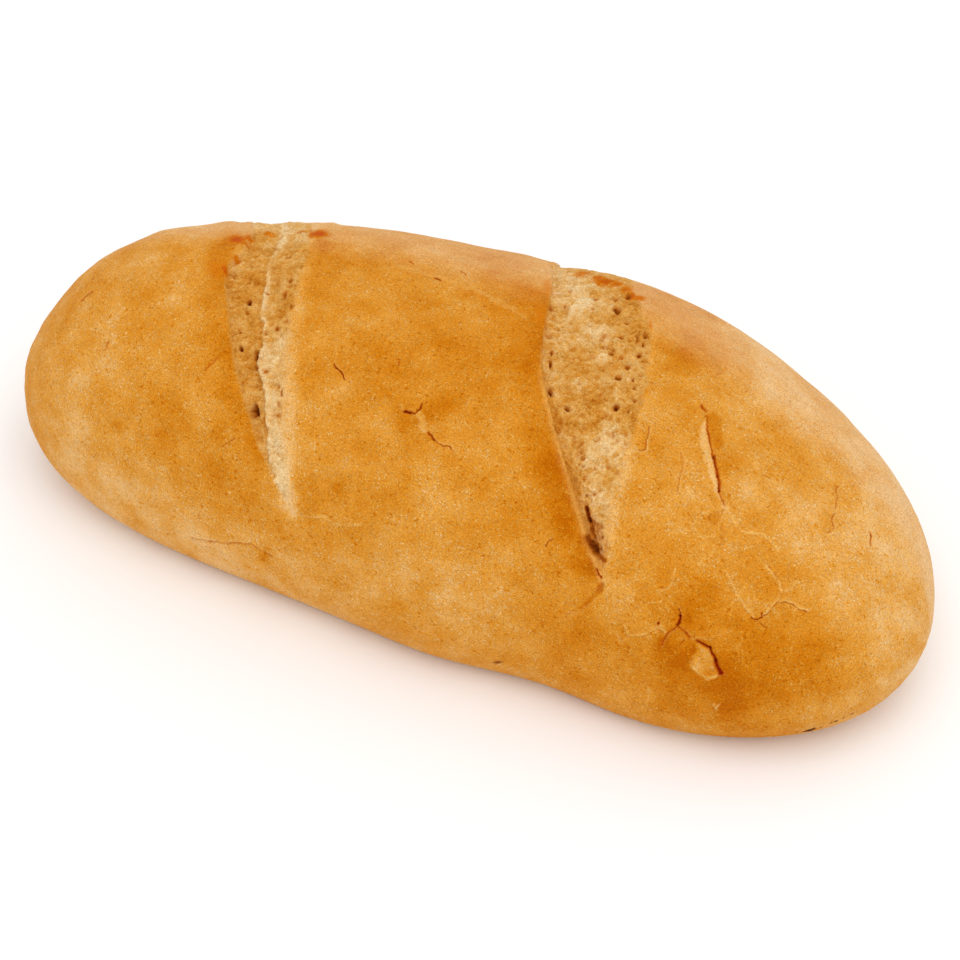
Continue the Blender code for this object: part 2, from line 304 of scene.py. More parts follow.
CRACKS = (
    # The long crack behind the right end, with a pale torn edge
    Crack((702, 405), (704, 409), (706, 411), width=0.6, depth=0.3, dark=0.8),
    Crack((706, 416), (708, 417), width=0.5, dark=0.7),
    Crack((707, 420), (708, 432), (710, 442), (712, 450), (714, 458), width=0.5, depth=0.4, dark=0.75),
    Crack((714, 456), (716, 466), (717, 474), (719, 483), (720, 490), width=0.75, depth=0.5, dark=0.95),
    Crack((720, 490), (722, 498), (724, 506), width=0.45, depth=0.3, dark=0.5),
    Crack((723, 528), (724, 537), (721, 552), width=0.9, dark=0.12),
    # The hook beside the left slash, and the forked crack in the middle
    Crack((334, 363), (337, 368), (341, 371), (345, 379), width=0.35, depth=0.5, dark=1.0, lift=0.08,
          pale=0.2),
    Crack((345, 379), (352, 382), depth=0.3, dark=0.5, lift=0.1, pale=0.3),
    Crack((405, 411), (411, 412), width=0.75, depth=0.6, dark=1.3),
    Crack((411, 412), (416, 413), (419, 410), (422, 403), width=0.4, depth=0.5, dark=1.1),
    Crack((400, 405), (404, 412), (413, 411), depth=0.1, lift=0.12, pale=0.5),
    Crack((415, 414), (419, 421), (418, 428), (424, 432), width=0.4, lift=0.2, pale=0.5, edge=0.3),
    Crack((428, 434), (434, 440), width=0.55, depth=0.4, dark=0.9, lift=0.12, pale=0.3),
    Crack((434, 440), (439, 444), (447, 446), (452, 449), width=0.35, depth=0.3, dark=0.6, lift=0.12,
          pale=0.5),
    Crack((446, 443), (451, 449), (455, 452), depth=0.1, dark=0.1, lift=0.12, pale=0.6),
    # The web of fine cracks over the right end
    Crack((724, 572), (732, 584), (737, 599), (746, 610), (752, 618), dark=0.15, lift=0.15, pale=0.91),
    Crack((751, 618), (757, 621), (762, 617), (762, 613), width=0.35, depth=0.4, dark=0.9),
    Crack((763, 616), (768, 612), (773, 607), (777, 602), (785, 602), (793, 605), (799, 609), (808, 611),
          depth=0.25, dark=0.4, lift=0.12, pale=0.78),
    Crack((759, 622), (766, 629), (763, 637), dark=0.4),
    Crack((777, 602), (783, 593), (780, 581), (773, 572), (768, 566), depth=0.15, dark=0.15, lift=0.12,
          pale=0.78),
    Crack((783, 593), (793, 590), (797, 584), (802, 583), (808, 581), depth=0.15, dark=0.1, lift=0.12,
          pale=0.65),
    Crack((708, 511), (697, 515), (691, 528), (698, 537), (705, 541), (712, 538), depth=0.15, dark=0.05,
          lift=0.12, pale=0.72),
    Crack((724, 509), (732, 519), (736, 528), (746, 534), (761, 536), (768, 541), (776, 550), depth=0.15,
          dark=0.05, lift=0.12, pale=0.72),
    Crack((658, 594), (668, 590), (673, 582), (676, 571), depth=0.1, lift=0.1, pale=0.52),
    Crack((700, 570), (703, 562), (713, 557), (716, 548), depth=0.1, lift=0.1, pale=0.52),
    Crack((861, 654), (864, 661), (867, 666), (873, 663), depth=0.1, lift=0.12, pale=0.6),
    Crack((648, 690), (646, 699), (641, 707), depth=0.1, lift=0.1, pale=0.65),
    Crack((713, 706), (715, 712), (719, 706), dark=0.2, lift=0.1, pale=0.78),
    # Short upright cracks near the right edge
    Crack((839, 486), (837, 490), (838, 496), (835, 508), dark=0.5, lift=0.08, pale=0.3),
    Crack((834, 513), (831, 520), (834, 529), (828, 533), width=0.35, depth=0.25, dark=0.4, lift=0.12,
          pale=0.6),
    Crack((869, 531), (872, 536), (871, 545), width=0.35, depth=0.3, dark=0.6, lift=0.1, pale=0.4),
    # The star crack low on the right, dark red inside
    Crack((678, 609), (680, 613), (680, 617), width=0.4, depth=0.4, dark=0.9, lift=0.08, pale=0.3),
    Crack((680, 616), (679, 621), (677, 625), width=0.85, depth=0.7, dark=1.3),
    Crack((677, 626), (671, 631), (666, 635), (663, 641), (662, 646), width=0.5, depth=0.3, dark=0.75,
          lift=0.08, pale=0.2),
    Crack((677, 626), (681, 629), (685, 633), (689, 637), width=0.6, depth=0.35, dark=0.8, lift=0.08,
          pale=0.2),
    Crack((684, 640), (681, 645), width=0.35, dark=0.7),
    Crack((697, 641), (702, 643), (706, 645), (711, 648), width=0.5, depth=0.5, dark=1.2),
    Crack((711, 648), (711, 652), (714, 657), (717, 662), width=0.6, depth=0.6, dark=1.3),
    Crack((716, 661), (719, 668), (721, 674), width=0.95, depth=0.7, dark=1.35),
    Crack((692, 641), (700, 639), (709, 641), (716, 637), (724, 636), (731, 632), depth=0.1, dark=0.2,
          lift=0.08, pale=0.4),
    Crack((691, 663), (693, 669), (698, 673), (703, 676), (707, 679), (714, 678), (721, 676), depth=0.15,
          lift=0.2, pale=0.8, edge=0.35),
    Crack((620, 620), (624, 628), (627, 637), (641, 637), (650, 633), (657, 628), (663, 632), dark=0.1,
          lift=0.15, pale=0.7),
    Crack((658, 624), (660, 623), width=0.5, depth=0.3, dark=1.0),
    Crack((627, 637), (621, 640), (617, 632), depth=0.1, lift=0.1, pale=0.5),
    # The hook beside the right slash, and small ones further right and left of its lower end
    Crack((649, 428), (648, 438), (645, 449), (639, 451), depth=0.3, dark=0.5, lift=0.18, pale=0.7),
    Crack((637, 450), (629, 449), (621, 449), depth=0.1, lift=0.12, pale=0.6),
    Crack((681, 452), (684, 461), (681, 474), (677, 492), (680, 494), depth=0.15, dark=0.35, lift=0.1,
          pale=0.5),
    Crack((545, 546), (547, 542), (552, 541), depth=0.3, dark=0.7, lift=0.1, pale=0.4),
    # A crease low on the left, and the pale wrinkle beside the left slash's end
    Crack((191, 538), (207, 541), (223, 543), (240, 543), (251, 545), (262, 551), (271, 556), width=0.5,
          depth=0.35, dark=0.3, lift=0.15, pale=0.25),
    Crack((300, 516), (311, 519), (322, 518), (331, 523), (345, 527), (360, 526), width=0.4, depth=0.1,
          lift=0.2, pale=0.7),
    Crack((336, 339), (334, 350), (335, 359), width=0.6, depth=0.15, lift=0.12, pale=0.3),
    Crack((222, 447), (229, 443), (235, 438), depth=0.25, dark=0.4),
    Crack((205, 371), (211, 364), (217, 357), width=0.5, depth=0.25, dark=0.4),
    Crack((97, 350), (104, 349), (109, 342), width=0.5, depth=0.3, dark=0.3, lift=0.2, pale=0.4),
    Crack((80, 299), (85, 295), (92, 290), width=0.5, depth=0.35, dark=0.4, lift=0.15, pale=0.35),
    # Where the crown turns away, a pale wrinkle crosses the middle of the loaf
    Crack((384, 271), (397, 269), (413, 273), (435, 278), (460, 285), (480, 293), (496, 303), (510, 310),
          (521, 317), width=0.5, depth=0.0, lift=0.15, pale=0.3, edge=0.6),
    Crack((435, 278), (440, 280), width=0.35, depth=0.3, dark=0.9),
    Crack((460, 271), (466, 274), width=0.35, dark=0.6),
    Crack((410, 262), (413, 264), dark=0.7),
    Crack((397, 359), (400, 359), (399, 364), dark=0.7),
    # The torn end of the right slash, which goes on as a crack
    Crack((597, 569), (599, 574), (601, 578), width=0.6, depth=0.6, dark=0.9),
    Crack((593, 600), (584, 606), (575, 611), (566, 615), width=1.0, dark=0.08, lift=0.15, pale=0.2),
    # Along the upper end of the left slash, a thin torn edge of crust
    Crack((311, 241), (316, 238), (321, 239), (334, 242), depth=0.1, lift=0.12, pale=0.6),
)
# Burnt spots low on the right: where they show in the photograph, their radius in mm and how burnt
BURNT = (
    (797, 732, 0.5, 0.6), (804, 731, 0.6, 0.8), (809, 730, 1.2, 1.0), (813, 729, 0.8, 0.9),
    (821, 727, 0.4, 0.7), (831, 723, 0.5, 0.8), (836, 721, 0.5, 0.8), (843, 718, 0.4, 0.6),
    (853, 714, 0.4, 0.7), (498, 665, 0.5, 0.7),
)
# The hollows at the lower end of the right slash, dark at the left: painted shade inside them
HOLLOWS = (
    Crack((585, 505), (587, 512), (588, 519), width=1.1, depth=1.0, dark=1.1),
    Crack((588, 520), (590, 528), (592, 536), width=1.1, depth=1.0, dark=0.75),
    Crack((592, 522), (596, 530), (599, 538), width=1.6, depth=0.7, dark=0.45),
    Crack((587, 537), (590, 545), (594, 552), width=1.8, depth=1.6, dark=0.9),
    Crack((593, 540), (598, 548), width=1.6, depth=0.9, dark=0.5),
    Crack((595, 553), (600, 558), (604, 561), width=1.2, depth=0.8, dark=0.75),
    Crack((600, 550), (604, 556), width=1.4, depth=0.4, dark=0.3),
    Crack((602, 538), (605, 548), width=2.4, depth=0.4, dark=0.22),
    Crack((581, 445), (580, 453), width=2.2, depth=0.4, dark=0.2),
    Crack((601, 585), (598, 591), width=1.6, depth=0.5, dark=0.5),
)
FLAKES = (
    # The raised flake and the chips beside the star crack
    Flake((697, 642), (708, 647), (711, 653), (717, 661), (722, 674), (714, 679), (706, 680), (703, 676),
          (697, 673), (691, 665), (694, 655), lift=0.4, brown=-0.42, soft=2.4),
    Flake((664, 641), (668, 635), (677, 628), (684, 634), (681, 640), (671, 646), lift=-0.2, brown=-0.04,
          soft=1.2),
    Flake((681, 642), (689, 640), (694, 647), (691, 655), (684, 651), lift=-0.2, brown=0.05, soft=1.5),
    # The torn edge in the middle, and the orange streak beyond the right slash
    Flake((415, 413), (420, 410), (425, 416), (427, 424), (427, 432), (423, 432), (418, 428), (419, 421),
          lift=0.2, pale=0.15, brown=-0.26, soft=1.2),
    Flake((600, 584), (604, 587), (599, 595), (592, 601), (585, 606), (579, 609), (586, 601), (593, 593),
          lift=-0.2, brown=0.26, soft=2.0),
    # Folds of crumb in the right slash that stand up over the hollows beside them
    Flake((567, 316), (570, 303), (580, 297), (592, 297), (602, 303), (613, 306), (616, 312), (610, 317),
          (598, 313), (586, 311), (577, 316), lift=0.5, brown=-0.2),
    Flake((571, 287), (580, 282), (596, 284), (606, 291), (598, 293), (584, 291), lift=0.4, brown=-0.12),
    Flake((592, 356), (603, 351), (614, 356), (611, 362), (600, 361), lift=0.35, brown=-0.15),
    Flake((568, 386), (582, 372), (590, 370), (586, 384), (576, 394), lift=0.3, brown=-0.12),
    Flake((600, 420), (612, 415), (620, 424), (612, 432), (602, 430), lift=0.3, brown=-0.12),
    # The torn wall of the long crack, and the chip at its lower end
    Flake((704, 420), (707, 426), (707, 434), (709, 443), (712, 453), (714, 461), (716, 470), (718, 481),
          (721, 492), (723, 503), (719, 500), (714, 488), (710, 475), (706, 463), (702, 452), (700, 441),
          (700, 430), lift=-0.2, pale=0.12, brown=-0.36, soft=2.0),
    Flake((707, 416), (714, 412), (720, 418), (722, 431), (724, 446), (716, 449), (712, 440), (709, 428),
          lift=-0.05, brown=0.26, soft=1.8),
    Flake((708, 516), (716, 511), (724, 510), (719, 518), (716, 525), (710, 522), lift=-0.5, brown=0.12),
)

# Where the oven scorched a bit of lip orange: x, y, how wide and tall in pixels, and how much
SCORCHED = (
    (237, 239, 14, 8, 0.9), (248, 237, 8, 5, 0.7), (243, 243, 9, 3, 0.6), (268, 229, 8, 3, 0.5),
    (301, 229, 9, 3, 0.5), (319, 234, 13, 6, 0.9), (312, 234, 5, 6, 0.7), (225, 269, 4, 9, 0.9),
    (217, 270, 12, 14, 0.5), (236, 257, 8, 3, 0.5), (583, 271, 10, 4, 0.5), (598, 278, 9, 4, 0.7),
    (606, 281, 16, 4, 0.8), (616, 285, 10, 4, 0.7), (626, 291, 9, 5, 0.65), (630, 298, 7, 6, 0.8),
    (638, 300, 9, 4, 0.65), (650, 327, 3, 6, 0.4), (548, 286, 8, 10, 0.3), (541, 315, 9, 14, 0.3),
    (709, 671, 8, 5, 0.35), (599, 588, 5, 7, 0.5),
)

# Pores: where they show in the photograph, how wide and tall they are in its pixels, and how deep in mm
PORES = (
    (248, 296, 6, 7, 1.2), (246, 308, 4, 6, 0.6), (238, 329, 3, 4, 0.7), (239, 345, 4, 8, 1.2),
    (255, 352, 5, 13, 1.5), (255, 366, 4, 5, 0.8), (249, 338, 6, 3, 0.4), (249, 324, 2, 2, 0.5),
    (253, 411, 8, 17, 2.2), (276, 325, 6, 5, 0.8), (285, 293, 5, 9, 0.7), (290, 277, 5, 7, 0.7),
    (264, 370, 5, 6, 0.6), (278, 386, 3, 6, 0.4), (281, 393, 3, 7, 0.6), (278, 404, 4, 8, 0.35),
    (277, 415, 8, 6, 0.45), (233, 272, 4, 8, 0.6), (290, 252, 5, 3, 0.6), (301, 267, 4, 4, 0.4),
    (616, 309, 7, 6, 1.2), (629, 296, 5, 4, 0.8), (616, 299, 8, 4, 0.8), (627, 323, 5, 4, 0.7),
    (621, 337, 6, 4, 0.8), (637, 339, 3, 7, 0.9), (645, 338, 4, 6, 0.9), (643, 345, 3, 4, 0.8),
    (639, 356, 5, 5, 1.0), (552, 348, 4, 6, 0.9), (551, 359, 4, 10, 1.0), (550, 387, 6, 9, 1.8),
    (567, 406, 6, 7, 1.5), (617, 406, 7, 7, 1.3), (612, 352, 9, 3, 0.9), (619, 377, 8, 5, 0.9),
    (628, 366, 7, 4, 0.8), (633, 380, 3, 5, 0.9), (634, 389, 3, 4, 0.7), (635, 401, 4, 4, 0.8),
    (629, 410, 3, 5, 0.7), (590, 350, 3, 4, 0.5), (580, 382, 4, 4, 0.5), (590, 324, 3, 3, 0.4),
    (546, 325, 4, 4, 0.5), (551, 303, 4, 6, 0.6), (582, 441, 6, 4, 0.5), (584, 456, 6, 4, 0.5),
    (614, 434, 4, 9, 0.35), (584, 477, 5, 8, 0.45), (608, 466, 4, 7, 0.35), (616, 473, 4, 3, 0.4),
    (586, 493, 3, 3, 0.7), (594, 492, 4, 3, 0.5), (595, 465, 3, 7, 0.3), (556, 409, 4, 5, 0.4),
    (625, 442, 3, 4, 0.3), (566, 302, 3, 7, 0.5), (628, 298, 5, 7, 0.9), (597, 300, 10, 4, 0.7),
    (571, 288, 5, 6, 0.35), (575, 434, 4, 4, 0.4), (579, 461, 4, 3, 0.5), (583, 464, 3, 3, 0.5),
    (609, 347, 9, 3, 0.4), (602, 338, 6, 5, 0.3), (646, 336, 4, 7, 0.7), (618, 311, 8, 6, 0.9),
)

# %% [markdown]
# ## Cutting the ball where detail is wanted
#
# A real crust is smooth over a hand's breadth and torn over a fingertip's, and the faces follow that.
# A sculpted skin would have them even, and would need far more of them. Here a sphere is added, turned so
# that its poles are the loaf's two ends, and cut in steps, each in a narrower zone: first all above the
# sole, then around the slashes and the marks, and at last only along hollows and open cracks. The
# subdivide operator leaves each new point halfway along a straight edge, just inside the ball, so after
# each cut the points are put back on the ball's surface.

# %% The ball
bpy.ops.object.select_all(action="DESELECT")
bpy.ops.mesh.primitive_uv_sphere_add(
    segments=SEGMENTS, ring_count=RINGS, radius=1, rotation=(0, radians(90), 0)
)
crust_skin = bpy.context.object
crust_skin.name = "loaf_crust"
bpy.ops.object.transform_apply(location=False, rotation=True, scale=False)
skin = crust_skin.data


def read(items, name, size=3):
    """What each point or face of the mesh has under this name, a row for each."""
    flat = np.empty(len(items) * size, np.float32)
    items.foreach_get(name, flat)
    return flat.reshape(-1, size).astype(float)


def on_ball(points):
    return points / np.linalg.norm(points, axis=1)[:, None]


def edit_faces(wanted):
    """Goes to edit mode with only these faces selected."""
    bpy.ops.object.mode_set(mode="EDIT")
    bpy.ops.mesh.select_mode(type="FACE")
    bpy.ops.mesh.select_all(action="DESELECT")
    bpy.ops.object.mode_set(mode="OBJECT")
    skin.polygons.foreach_set("select", wanted)
    bpy.ops.object.mode_set(mode="EDIT")


def cut_finer(wanted):
    """Cuts the wanted faces of the ball in four."""
    edit_faces(wanted)
    bpy.ops.mesh.subdivide(number_cuts=1, ngon=False)
    bpy.ops.object.mode_set(mode="OBJECT")
    skin.vertices.foreach_set("co", on_ball(read(skin.vertices, "co")).ravel())
    skin.update()
    print(f"cut {wanted.sum()} faces, now {len(skin.polygons)}")


# %% Which faces are cut
ABOVE_SOLE = 108                    # angle round the section up to which the first cut goes
SLASH_BACK = -46                    # behind this angle the slashes are hidden, and less fine
SEEN_ANGLES = (-60, 110)            # between these, places can show in the photograph


def to_line(spots, line):
    """The distance from each spot to the line, in pixels, and which side of it: + is to its left."""
    best = np.full(len(spots), 1e9)
    sides = np.zeros(len(spots))
    for start, end in zip(line, line[1:]):
        run = end - start
        share = np.clip((spots - start) @ run / (run @ run), 0, 1)
        off = spots - start - share[:, None] * run
        distance = np.hypot(*off.T)
        nearer = distance < best
        best = np.where(nearer, distance, best)
        sides = np.where(nearer, np.sign(off[:, 0] * run[1] - off[:, 1] * run[0]), sides)
    return best, sides


def in_slashes(points, angle, margin):
    """Whether each point lies in a slash or within this many millimetres of it."""
    inside = np.zeros(len(points), bool)
    for slash in (LEFT_SLASH, RIGHT_SLASH):
        from_left, from_right, _, depth = slash.read(points, angle)
        inside |= (from_left > -margin) & (from_right > -margin) & (depth > 0.02)
    return inside


def near_marks(points, angle, reach, marks):
    """Whether each point shows in the photograph within this many millimetres of one of the marks."""
    near = (angle > SEEN_ANGLES[0]) & (angle < SEEN_ANGLES[1])
    seen = in_picture(points[near])
    near[near] = np.min([to_line(seen, mark.line)[0] for mark in marks], axis=0) < reach * PIXELS_PER_MM
    return near


BURNT_EDGE = Crack(*[spot[:2] for spot in BURNT[:-1]])
ALL_MARKS = CRACKS + HOLLOWS + FLAKES + (BURNT_EDGE,)
SHARP_MARKS = HOLLOWS + tuple(crack for crack in CRACKS if crack.dark >= 0.3)
ZONES = (
    lambda points, angle: np.abs(angle) < ABOVE_SOLE,
    lambda points, angle: in_slashes(points, angle, 1.5) | near_marks(points, angle, 1.5, ALL_MARKS),
    lambda points, angle: (
        in_slashes(points, angle, 0.4) & (angle > SLASH_BACK) | near_marks(points, angle, 0.7, ALL_MARKS)
    ),
    lambda points, angle: near_marks(points, angle, 0.4, SHARP_MARKS),
)
for zone in ZONES:
    cut_finer(zone(*loaf_form(on_ball(read(skin.polygons, "center")))))

# %% [markdown]
# ## From the ball to the loaf
#
# A ball ends in a point, but below each tip of a loaf that stands on a flat base its two sides meet in a
# line, which curves from the tip down to the table. Faces that fan out from a pole would cut straight
# across that curve and leave a slit. So the faces round each pole are taken away, what was their edge
# closes up to the line, and there the points of the two sides are joined.

# %% The ball becomes the loaf
FACING_SHARE = 0.05                 # a place shows in the photograph if it leans this much towards it
WELD = 2e-6                         # points closer than this, in metres, become one

edit_faces(np.abs(on_ball(read(skin.polygons, "center"))[:, 0]) > cos(TIP_REACH))
bpy.ops.mesh.delete(type="FACE")
bpy.ops.object.mode_set(mode="OBJECT")
loaf_points, loaf_angle = loaf_form(read(skin.vertices, "co"))
skin.vertices.foreach_set("co", (loaf_points / 1000).ravel())
skin.attributes.new("angle", "FLOAT", "POINT").data.foreach_set("value", loaf_angle.astype(np.float32))
bpy.ops.object.mode_set(mode="EDIT")
bpy.ops.mesh.select_all(action="SELECT")
bpy.ops.mesh.remove_doubles(threshold=WELD)
bpy.ops.object.mode_set(mode="OBJECT")
loaf_points = read(skin.vertices, "co") * 1000
loaf_angle = read(skin.attributes["angle"].data, "value", 1)[:, 0]
skin.attributes.remove(skin.attributes["angle"])
skin.update()

outwards = read(skin.vertices, "normal")
towards = camera_place - loaf_points
towards /= np.linalg.norm(towards, axis=1)[:, None]
facing = (outwards * towards).sum(1)
shows = ramp(0.0, FACING_SHARE, facing)
shows_softly = ramp(-0.3, 0.1, facing)
spots = in_picture(loaf_points)
print(f"of the skin's {len(loaf_points)} points {(shows > 0.5).sum()} show in the photograph")

# %% [markdown]
# ## Tearing the slashes open
#
# The left slash falls from a sharp lip to a valley. A thin torn ridge of crumb stands up in the
# valley, and from there the floor rises to the right without an edge. The right slash drops at its left
# lip and rises slowly, so its crumb is nearly level with the crust.
#
# Crumb is a broken foam: bubbles of many sizes, some burst, and threads of dough pulled between them.
# Cell noise makes such bubbles, because each of its cells is round and meets its neighbours in a thin
# wall. The crests of a bent noise make the threads. Carving bubbles one by one would take thousands.

# %% Noise for the skin


def waves(points, size, octaves=1, shift=0.0):
    """Smooth noise from about -1 to 1 with waves of this size in millimetres."""
    places = points / size + shift
    total = np.zeros(len(points))
    for octave in range(octaves):
        total += np.array([noise.noise(place * 2**octave) for place in map(Vector, places)]) / 2**octave
    return total


def bubbles(points, size, shift=0.0):
    """0 in the middle of each bubble and 1 on the walls between bubbles of this size in millimetres."""
    places = points / size + shift
    nearest = np.array([noise.voronoi(Vector(place))[0][:2] for place in places])
    return np.clip(nearest[:, 0] / np.maximum(nearest[:, 0] + nearest[:, 1], 1e-6) * 2, 0, 1)


# %% What both slashes share
LIP_WIDTH = 0.55                    # over which the crust breaks down to the crumb
RIM_HEIGHT, RIM_WIDTH = 0.15, 0.75  # the curled-up rim of the crust beside a sharp lip

raised = np.zeros(len(loaf_points))
crumb = np.zeros(len(loaf_points))
crumb_tone = np.full(len(loaf_points), 0.4)   # from 0, cream, to 1, brown
# How pale the crust is at a sharp lip: partly less browned, partly a painted highlight on the rounded edge
lip_paleness_and_highlight = np.zeros(len(loaf_points))
blond = np.zeros(len(loaf_points))            # how much paler the crust is beside the crumb
near_slash = in_slashes(loaf_points, loaf_angle, 8.0)
near_points, near_angle = loaf_points[near_slash], loaf_angle[near_slash]
near_spots, near_shows = spots[near_slash], shows[near_slash]
folds = waves(near_points, 5.5, octaves=2, shift=15.0)
wander = waves(near_points, 3.0, octaves=3)
fine_wander = waves(near_points, 1.2, octaves=2, shift=7.0)
coarse_cells = bubbles(near_points, 2.8)
fine_cells = bubbles(near_points, 1.3, shift=31.0)
coarse_cells -= coarse_cells.mean()
fine_cells -= fine_cells.mean()

# Stretched threads of dough: the crests of a noise that is itself bent by another one
bent = near_points + 2.2 * np.stack([waves(near_points, 4.5, shift=shift) for shift in (41.0, 43.0, 47.0)], 1)
threads = np.clip(1 - 3 * np.abs(waves(bent, 2.1, octaves=2, shift=51.0)), -0.6, 1)
threads -= threads.mean()


def as_seen(distance, edge):
    """The distance past an edge, taken from the photograph wherever the point shows in it."""
    line = np.array(edge, float)
    seen = (near_spots[:, 0] - np.interp(near_spots[:, 1], line[:, 1], line[:, 0])) / PIXELS_PER_MM
    return distance + (seen - distance) * near_shows


def sharp_lip(from_left, from_right, depth):
    """The rim beside a left lip, 1 at the very edge."""
    edge = np.exp(-((np.minimum(from_left, 0) / RIM_WIDTH) ** 2)) * ramp(LIP_WIDTH, -0.1, from_left)
    return edge * ramp(0.3, 1.5, depth) * (from_right > 0)


def tear(floor, mask, rim, tone, band, pale_lip_and_highlight):
    """Cuts one slash into the skin and keeps what its finish needs."""
    raised[near_slash] -= floor - RIM_HEIGHT * rim
    crumb_tone[near_slash] = np.where(mask > crumb[near_slash], tone, crumb_tone[near_slash])
    crumb[near_slash] = np.maximum(crumb[near_slash], mask)
    lip_paleness_and_highlight[near_slash] = np.maximum(lip_paleness_and_highlight[near_slash], rim * pale_lip_and_highlight)
    blond[near_slash] = np.maximum(blond[near_slash], band)


# %% The left slash
RIDGE_HEIGHT, RIDGE_REACH = 0.8, 0.9
RIDGE_FOOT = 0.7                    # the width of the step on the ridge's left side
LEFT_LOWER_ROWS = (315, 350)        # of the photograph, between which the slash's lower part begins
LEFT_END_ROWS = (430, 480)          # and its lower end, in the same way

from_left, from_right, past_valley, depth = LEFT_SLASH.read(near_points, near_angle)
from_left = as_seen(from_left, LEFT_EDGES["left"]) + 0.2 * wander
from_right = -as_seen(-from_right, LEFT_EDGES["right"])
past_valley = as_seen(past_valley, LEFT_EDGES["valley"]) + 0.25 * wander + 0.3 * fine_wander
lower = ramp(*LEFT_LOWER_ROWS, near_spots[:, 1])
inside = (from_left > 0) & (from_right > 0)
left_share = np.clip(from_left / np.maximum(from_left - past_valley, 0.1), 0, 1)
right_share = np.clip(from_right / np.maximum(from_right + past_valley, 0.1), 0, 1)
# Down from the left lip to the valley, and up again from there to the right
drop = ramp(0, LIP_WIDTH, from_left)
left_floor = depth * drop * (0.55 + 0.45 * left_share)
kept_depth = 0.85 - 0.30 * ramp(24, 36, near_angle)
right_floor = depth * kept_depth * ramp(0, 1.0, right_share)
# The ridge in the valley
step = ramp(-RIDGE_FOOT, 0, past_valley)
frayed = np.clip(0.55 + 1.1 * waves(near_points, 4.0, octaves=2, shift=3.0), 0.1, 1.3)
frayed *= 0.3 + 0.7 * ramp(-25, -5, near_angle)
ridge = RIDGE_HEIGHT * frayed * step * np.exp(-np.maximum(past_valley, 0) / RIDGE_REACH)
ridge *= np.clip(depth / 2, 0, 1)
floor = left_floor + (right_floor - left_floor) * step - ridge
# What is crumb and how brown it is: palest towards both ends and on the ridge's crest, there a painted
# highlight
torn_edge = from_right + 0.6 * wander + 2.5 * ramp(45, 58, near_angle)
mask = inside * drop * ramp(1.2, 2.6 + 2.6 * lower, torn_edge) * ramp(0, 0.25, depth)
crest_highlight = np.exp(-((np.maximum(past_valley, 0) / 1.2) ** 2))
tone = 0.62 - (0.10 + 0.22 * lower + 0.26 * crest_highlight * (1 - lower)) * step - 0.12 * (ridge > 0.25)
tone += 0.10 * folds - 0.12 * coarse_cells - 0.14 * threads
tone -= 0.24 * ramp(40, 56, near_angle) + 0.20 * ramp(-8, -30, near_angle)
# The blond crust at its right
band = ramp(-2.4, 1.4, from_right) * ramp(0.1, 0.6, depth) * (from_left > 0)
band *= 0.6 + 0.1 * lower + 0.3 * ramp(*LEFT_END_ROWS, near_spots[:, 1])
tear(np.where(inside, floor, 0), mask, sharp_lip(from_left, from_right, depth), tone, band, 0.0)

# %% The right slash
RIGHT_LOWER_ROWS = (420, 470)       # of the photograph, between which the slash's lower part begins

from_left, from_right, _, depth = RIGHT_SLASH.read(near_points, near_angle)
from_left = as_seen(from_left, RIGHT_EDGES["left"]) + 0.12 * wander
from_right = -as_seen(-from_right, RIGHT_EDGES["right"])
lower = ramp(*RIGHT_LOWER_ROWS, near_spots[:, 1])
inside = (from_left > 0) & (from_right > 0)
# Down at the left lip, first steeply and then softly, and slowly up from there to the right
across = np.clip(from_left / np.maximum(from_left + from_right, 0.1), 0, 1)
drop = ramp(0, LIP_WIDTH, from_left)
soft_drop = ramp(0, 2.2 * LIP_WIDTH, from_left)
floor = depth * (0.45 * drop + 0.55 * soft_drop) * (1 - ramp(0.0, 1.0, across) ** 0.8)
# What is crumb and how brown it is
torn_edge = from_right + 0.9 * wander + 0.4 * fine_wander
mask = inside * drop * ramp(0.6, 1.8 + 2.2 * lower, torn_edge) * ramp(0, 0.5, depth)
tone = 0.58 - 0.24 * ramp(5, -30, near_angle) * ramp(0.9, 0.3, across) + 0.12 * folds
tone = tone - 0.16 * coarse_cells - 0.08 * fine_cells - 0.18 * threads
tone += 0.12 * ramp(3.0, 0.5, from_left) * ramp(0, 10, near_angle) - 0.26 * lower * ramp(0.05, 0.4, across)
# The blond crust at its right, and its pale left lip: partly less browned, partly a painted highlight
band = ramp(-2.0, 1.0, from_right) * ramp(0.1, 0.6, depth) * (from_left > 0) * (0.3 + 0.5 * lower)
pale_lip_and_highlight = ramp(4, 20, near_angle) * np.clip(0.9 + 0.5 * wander, 0.3, 1.2)
tear(np.where(inside, floor, 0), mask, sharp_lip(from_left, from_right, depth), tone, band, pale_lip_and_highlight)

# %% The crumb's bubbles and threads
rough = 0.55 * coarse_cells + 0.30 * fine_cells + 0.30 * threads
rough = rough + 0.50 * folds + 0.30 * wander + 0.12 * fine_wander
rough *= 0.5 + 0.5 * ramp(-45, -25, near_angle)
raised[near_slash] += crumb[near_slash] * rough
print(f"the slashes cover {int((crumb > 0.5).sum())} points and go {-raised.min():.1f} mm deep")

# %% The pores
# Each pore is sunk into the skin, and its inside is painted darker by its depth: painted shade
painted_pore_shade = np.zeros(len(loaf_points))
torn = 1 + 0.55 * waves(loaf_points, 0.9, shift=33.0)       # makes round pores ragged

for x, y, wide, tall, deep in PORES:
    from_middle = np.hypot((spots[:, 0] - x) / wide * 2, (spots[:, 1] - y) / tall * 2) * torn
    raised -= deep * ramp(1.25, 0.35, from_middle) * shows
    painted_pore_shade = np.maximum(painted_pore_shade, ramp(1.1, 0.3, from_middle) * min(deep, 1.0) * shows)

# %% [markdown]
# Between the pores that can be told apart there are many small ones, and the back of each slash, which
# the photograph doesn't show, needs its own. A seeded generator draws them by the numbers of the skin's
# points. Those numbers come from the sphere and aren't the same in every run, so there are always as many
# small pores of the same kind, but they fall on other points of the crumb.

